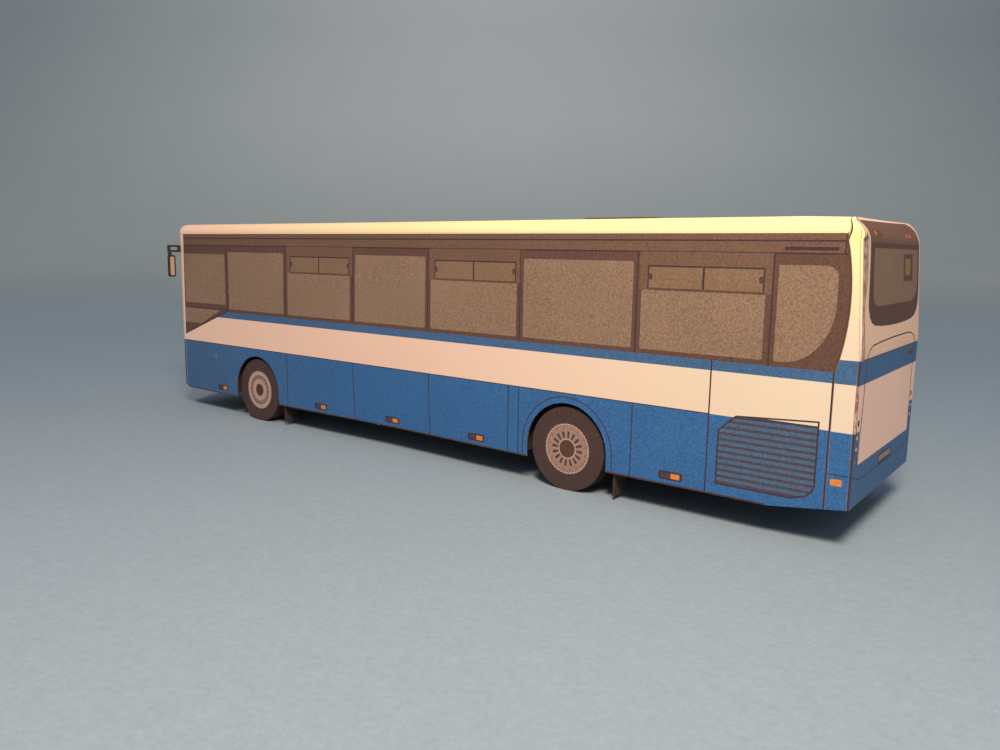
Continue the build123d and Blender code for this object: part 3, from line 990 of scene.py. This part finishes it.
class CARDBUS_OT_print_rear(bpy.types.Operator):
    """Print the rear panel and the two rear corner panels"""

    bl_idname = "cardbus.print_rear"
    bl_label = "Print Rear End"

    def execute(self, context):
        upper_bends = [31.0 + 0.42 * i for i in range(17)]
        bends = [z * MM for z in (BLUE_TOP, STRIPE_REAR, BELT_REAR, FOLD, 27.0, 29.5, *upper_bends)]
        sheet = take_sheet("rear_panel", (-1, 0, 0), [REAR + step * MM for step in EDGE_STEPS], bends)
        print_rear(sheet)
        press(sheet, "rear_panel")
        for hand, side in HANDS.items():
            node = f"rear_corner_{hand}"
            sheet = take_sheet(node, (0, side, 0), up=bends)
            print_corner(sheet)
            press(sheet, node)
        return {"FINISHED"}


# ---- Front end ------------------------------------------------------------------------
def print_front(sheet):
    flood(sheet, "white")
    ink(sheet, "blue", block(-15, 0, 15, BLUE_TOP))
    ink(sheet, "frame", rounded(-13.3, 16.4, 13.3, 35.5, (1.6, 1.6, 1.2, 1.2), 5))
    ink(sheet, "glass", rounded(-12.5, 17.2, 12.5, 31.6, (1.2, 1.2, 0.4, 0.4), 4))
    ink(sheet, "line", rounded(-11.6, 32.4, 11.6, 34.9, 0.4, 3))
    ink(sheet, "slat", rounded(-9.6, 32.75, 9.6, 34.55, 0.2, 2))
    ink(sheet, "line", stroke(0, 17.2, 0, 31.6, 0.16))
    for pivot, tip in ((-9.0, -1.2), (1.6, 9.6)):
        ink(sheet, "line", stroke(pivot, 16.9, tip, 19.4, 0.28))
        ink(sheet, "line", stroke(tip - 3.2, 20.9, tip + 1.4, 18.2, 0.2))
    ink(sheet, "line", *trail(rounded(-8.6, 10.6, 8.6, 13.2, 0.6, 3), 0.16, closed=True))
    for z in (11.2, 11.9, 12.6):
        ink(sheet, "slat", block(-7.8, z - 0.16, 7.8, z + 0.16))
    ink(sheet, "line", stroke(-15, 8.9, 15, 8.9, 0.16))
    for side in (1, -1):
        a, b = sorted((side * 8.3, side * 13.2))
        ink(sheet, "line", rounded(a, 9.3, b, 11.4, 0.8, 4))
        for y in (9.5, 11.4):
            ink(sheet, "rim", oval(side * y, 10.35, 0.72, 0.72, 18))
            ink(sheet, "white", oval(side * y, 10.35, 0.72 * 0.62, 0.72 * 0.62, 14))
        ink(sheet, "orange", oval(side * 12.7, 10.35, 0.3, 0.55, 12))
        ink(sheet, "line", oval(side * 10.9, 6.9, 0.75, 0.55, 14))
        ink(sheet, "rim", oval(side * 10.9, 6.9, 0.55, 0.38, 14))
    ink(sheet, "line", rounded(-3.2, 6.7, 3.2, 8.1, 0.15, 2))
    ink(sheet, "white", rounded(-3.05, 6.85, 3.05, 7.95, 0.12, 2))


class CARDBUS_OT_print_front(bpy.types.Operator):
    """Print the front panel that wraps round both front corners"""

    bl_idname = "cardbus.print_front"
    bl_label = "Print Front Panel"

    def execute(self, context):
        sheet = take_sheet("front_panel", (1, 0, 0))
        print_front(sheet)
        press(sheet, "front_panel")
        return {"FINISHED"}


# ---- Roof and floor -------------------------------------------------------------------
class CARDBUS_OT_cover_roof(bpy.types.Operator):
    """Cover the roof, print its hatch, and shape the floor to the bowed sides"""

    bl_idname = "cardbus.cover_roof"
    bl_label = "Cover Roof and Floor"

    def execute(self, context):
        roof = take_sheet("roof", (0, 0, 1), net("roof", 0, NET_STEP))
        flood(roof, "roof")
        press(roof, "roof")

        hatch = take_sheet("roof_hatch", (0, 0, 1))
        flood(hatch, "frame")
        for border, finish in ((0.9, "white"), (0.16, "rail")):
            bpy.ops.mesh.inset(thickness=border * MM, depth=0)
            recolour(hatch, finish, lambda face, outer: face.select)
        cover_pulp(hatch, "frame")
        press(hatch, "roof_hatch")

        # Painted shade: the floor gets dark card, as only shade shows under the body.
        floor = take_sheet("floor_panel", (0, 0, -1), net("floor_panel", 0, NET_STEP))
        flood(floor, "dark")
        press(floor, "floor_panel")
        return {"FINISHED"}


# ---- Wheels ---------------------------------------------------------------------------
SECTORS = 80             # of a wheel disc


def dress(node, finish):
    """Give a CAD piece its finish."""
    mesh = frame["nodes"][node].data
    mesh.materials.clear()
    mesh.materials.append(bpy.data.materials[finish])


def disc_blank(end):
    """A left wheel's face disc: a turned blank with rings pushed in from its outer edge."""
    low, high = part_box(f"{end}_wheel_face_left")
    middle = (low + high) / 2
    bpy.ops.mesh.primitive_cylinder_add(
        vertices=SECTORS, radius=(high.x - low.x) / 2, depth=high.y - low.y, end_fill_type="NGON",
        location=middle, rotation=(-pi / 2, 0, 0),
    )
    disc = bpy.context.object
    disc.name = f"{end}_wheel_face_left_print"
    disc.data.name = disc.name
    bpy.ops.object.transform_apply(location=True, rotation=True, scale=True)
    slot_of(disc, "tyre")
    return disc, middle


def push_rings(disc, radii):
    """Inset the outer cap again and again, so that rings end at the given radii."""
    edit(disc)
    bpy.ops.mesh.select_all(action="DESELECT")
    bm = bmesh.from_edit_mesh(disc.data)
    cap = max(bm.faces, key=lambda face: face.calc_center_median().y)
    cap.select_set(True)
    bm.faces.active = cap
    bmesh.update_edit_mesh(disc.data)
    for here, there in zip(radii, radii[1:]):
        bpy.ops.mesh.inset(thickness=(here - there) * MM * cos(pi / SECTORS), depth=0, use_even_offset=True)
    bpy.ops.mesh.poke()


def paint_disc(disc, middle, rings):
    """Colour the outer side ring by ring."""
    bm = bmesh.from_edit_mesh(disc.data)
    top = max(vertex.co.y for vertex in bm.verts)
    for face in bm.faces:
        centre = face.calc_center_median()
        if centre.y < top - SLIP:
            continue
        along, rise = centre.x - middle.x, centre.z - middle.z
        sector = int(atan2(rise, along) % tau / tau * SECTORS)
        inside = [ring[1:] for ring in rings if ring[0] * MM > hypot(along, rise)]
        plain, marked, group, chosen = inside[-1]
        face.material_index = slot_of(disc, marked if sector % group in chosen else plain)
    bmesh.update_edit_mesh(disc.data)


def disc_rings():
    """Each ring's outer radius in mm, its finish, and a second finish for some sectors of every group."""
    slots = SECTORS // sizes().wheel_slots
    whole = (None, 1, ())
    return {
        "rear": (
            (6.0, "tyre", *whole), (5.3, "tyre", *whole), (3.67, "tyre", "hub", 2, (1,)),
            (3.58, "rim", *whole), (3.36, "hub", "frame", 2, (1,)), (3.24, "hub", *whole),
            (3.08, "hub", "frame", 5, (2,)), (2.96, "hub", *whole), (2.5, "hub", "tyre", slots, (0, 1)),
            (1.5, "rim", *whole), (1.28, "border", *whole), (0.8, "border", *whole),
        ),
        "front": (
            (6.0, "tyre", *whole), (5.3, "tyre", *whole), (3.67, "rim", *whole),
            (2.9, "dusk", "frame", 4, (0,)), (2.35, "dusk", *whole), (2.1, "rim", *whole),
            (1.2, "frame", *whole), (1.05, "tyre", *whole), (0.4, "tyre", *whole),
        ),
    }


class CARDBUS_OT_make_wheels(bpy.types.Operator):
    """Print the four wheel discs and finish the laminated wheels and axles behind them"""

    bl_idname = "cardbus.make_wheels"
    bl_label = "Make Wheels"

    def execute(self, context):
        for end, rings in disc_rings().items():
            disc, middle = disc_blank(end)
            push_rings(disc, [ring[0] for ring in rings])
            paint_disc(disc, middle, rings)
            bpy.ops.object.mode_set(mode="OBJECT")
            smooth(disc)
            twin = bpy.data.objects.new(f"{end}_wheel_face_right_print", disc.data.copy())
            twin.data.name = twin.name
            context.scene.collection.objects.link(twin)
            twin.data.transform(Matrix.Scale(-1, 4, (0, 1, 0)))
            twin.data.flip_normals()
            settle(disc, f"{end}_wheelset", f"{end}_wheel_face_left")
            settle(twin, f"{end}_wheelset", f"{end}_wheel_face_right")
            for hand in HANDS:
                dress(f"{end}_wheel_{hand}", "layers")
            dress(f"{end}_axle", "stick")
        return {"FINISHED"}


class CARDBUS_OT_dress_underside(bpy.types.Operator):
    """Finish the wheel wells, axle bearers and mud flaps"""

    bl_idname = "cardbus.dress_underside"
    bl_label = "Dress Underside"

    def execute(self, context):
        for end in ("rear", "front"):
            for part in ("wheel_well", "axle_bearer", "mud_flap"):
                for hand in HANDS:
                    # Dark card on the wells and bearers stands partly for the shade under the body; the flaps
                    # are dark card.
                    dress(f"{end}_{part}_{hand}", "dark")
        return {"FINISHED"}


MIRROR_HEIGHT = 4.5      # of the head below its arm


class CARDBUS_OT_print_mirrors(bpy.types.Operator):
    """Print the glass on both mirrors and blacken their arms"""

    bl_idname = "cardbus.print_mirrors"
    bl_label = "Print Mirrors"

    def execute(self, context):
        for hand in HANDS:
            dress(f"mirror_arm_{hand}", "black")
            low, high = (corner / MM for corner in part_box(f"mirror_{hand}"))
            head = take_sheet(f"mirror_{hand}", (-1, 0, 0))
            flood(head, "black")
            beside, border = 0.3, 0.32
            glass_top = low.z + MIRROR_HEIGHT - border
            ink(head, "mirror", rounded(low.y + beside, low.z + border, high.y - beside, glass_top, border))
            cover_pulp(head, "black")
            press(head, f"mirror_{hand}")
        return {"FINISHED"}


# ---- Studio ---------------------------------------------------------------------------
NEAR_LAMP, NEAR_TARGET, NEAR_WIDTH = (-0.105, 0.114, 0.144), (0.0, 0.01, 0.01), 0.045
FAR_LAMP, FAR_TARGET, FAR_ANGLE = (-0.29, 0.53, 0.797), (0, 0, 0), radians(11)
PAPER_WIDTH, PAPER_MIDDLE = 2.0, -0.3       # of the part that lies flat, in metres
BEND_RADIUS, WALL_HEIGHT = 0.35, 0.9        # of the part that stands upright behind it


def hang_lamp(name, kind, place, target, power):
    lamp = bpy.data.lights.new(name, kind)
    lamp.energy = power
    lamp.color = bpy.context.scene.card_bus_studio.warmth
    thing = bpy.data.objects.new(name, lamp)
    bpy.context.scene.collection.objects.link(thing)
    thing.location = place
    thing.rotation_euler = (Vector(target) - Vector(place)).to_track_quat("-Z", "Y").to_euler()
    return lamp


class CARDBUS_OT_set_studio(bpy.types.Operator):
    """Lay the paper floor, hang the lamps and place the camera"""

    bl_idname = "cardbus.set_studio"
    bl_label = "Set Studio"

    def execute(self, context):
        studio = context.scene.card_bus_studio
        right = Vector((-cos(YAW), -sin(YAW), 0))
        bpy.ops.mesh.primitive_plane_add(
            size=PAPER_WIDTH, location=PAPER_MIDDLE * AHEAD, rotation=(0, 0, YAW)
        )
        paper = context.object
        paper.name = "floor_paper"
        bpy.ops.object.transform_apply(location=True, rotation=True, scale=True)
        bpy.ops.object.mode_set(mode="EDIT")
        bpy.ops.mesh.select_mode(type="EDGE")
        bpy.ops.mesh.select_all(action="DESELECT")
        bm = bmesh.from_edit_mesh(paper.data)
        far = max(bm.edges, key=lambda edge: sum((v.co for v in edge.verts), Vector()).dot(AHEAD))
        far.select_set(True)
        bmesh.update_edit_mesh(paper.data)
        bend_centre = AHEAD * (PAPER_MIDDLE + PAPER_WIDTH / 2) + Vector((0, 0, BEND_RADIUS))
        bpy.ops.mesh.spin(steps=24, angle=pi / 2, center=bend_centre, axis=-right, use_auto_merge=False)
        bpy.ops.mesh.extrude_region_move(TRANSFORM_OT_translate={"value": (0, 0, WALL_HEIGHT)})
        bpy.ops.mesh.select_mode(type="FACE")
        bpy.ops.mesh.select_all(action="SELECT")
        bpy.ops.mesh.normals_make_consistent(inside=False)
        bpy.ops.object.mode_set(mode="OBJECT")
        bpy.ops.object.shade_smooth()
        slot_of(paper, "paper")

        world = bpy.data.worlds.new("studio_air")
        world.use_nodes = True
        background = world.node_tree.nodes["Background"].inputs
        background["Color"].default_value = solid(studio.air)
        background["Strength"].default_value = studio.world
        context.scene.world = world
        hang_lamp("near_lamp", "AREA", NEAR_LAMP, NEAR_TARGET, studio.near_power).size = NEAR_WIDTH
        hang_lamp("far_lamp", "SUN", FAR_LAMP, FAR_TARGET, studio.far_power).angle = FAR_ANGLE

        lens = bpy.data.cameras.new("camera")
        lens.lens, lens.sensor_width = LENS, SENSOR
        lens.clip_start, lens.clip_end = 0.004, 20.0
        camera = bpy.data.objects.new("camera", lens)
        context.scene.collection.objects.link(camera)
        up = right.cross(FORWARD)
        tilted_right = cos(ROLL) * right + sin(ROLL) * up
        tilted_up = -sin(ROLL) * right + cos(ROLL) * up
        turn = Matrix((tilted_right, tilted_up, -FORWARD)).transposed().to_4x4()
        camera.matrix_world = Matrix.Translation(CAMERA_PLACE) @ turn
        context.scene.camera = camera
        context.scene.view_settings.view_transform = "Standard"
        return {"FINISHED"}


class CARDBUS_PT_panel(bpy.types.Panel):
    """Lists the steps of the model in their order"""

    bl_idname = "CARDBUS_PT_panel"
    bl_label = "Card Bus"
    bl_space_type = "VIEW_3D"
    bl_region_type = "UI"
    bl_category = "Card Bus"

    def draw(self, context):
        layout = self.layout
        for step in STEPS:
            layout.operator(step.bl_idname)
        for group in (getattr(context.scene, name) for name in GROUPS):
            column = layout.column(align=True)
            for name in group.bl_rna.properties.keys():
                if name not in ("rna_type", "name"):
                    column.prop(group, name)


STEPS = (
    CARDBUS_OT_mix_finishes,
    CARDBUS_OT_set_studio,
    CARDBUS_OT_print_sides,
    CARDBUS_OT_print_rear,
    CARDBUS_OT_print_front,
    CARDBUS_OT_cover_roof,
    CARDBUS_OT_make_wheels,
    CARDBUS_OT_dress_underside,
    CARDBUS_OT_print_mirrors,
)
GROUPS = {
    "card_bus_colours": CardBusColours,
    "card_bus_sizes": CardBusSizes,
    "card_bus_studio": CardBusStudio,
}


def register():
    for group in GROUPS.values():
        bpy.utils.register_class(group)
    for name, group in GROUPS.items():
        setattr(bpy.types.Scene, name, PointerProperty(type=group))
    for kind in (*STEPS, CARDBUS_PT_panel):
        bpy.utils.register_class(kind)


def unregister():
    for kind in reversed((*STEPS, CARDBUS_PT_panel)):
        bpy.utils.unregister_class(kind)
    for name, group in GROUPS.items():
        delattr(bpy.types.Scene, name)
        bpy.utils.unregister_class(group)


def main():
    register()
    for thing in bpy.context.view_layer.objects:
        thing.select_set(False)
    bpy.ops.cardbus.mix_finishes()
    bpy.ops.cardbus.set_studio()
    bpy.ops.cardbus.print_sides()
    bpy.ops.cardbus.print_rear()
    bpy.ops.cardbus.print_front()
    bpy.ops.cardbus.cover_roof()
    bpy.ops.cardbus.make_wheels()
    bpy.ops.cardbus.dress_underside()
    bpy.ops.cardbus.print_mirrors()


if __name__ == "__main__":
    main()
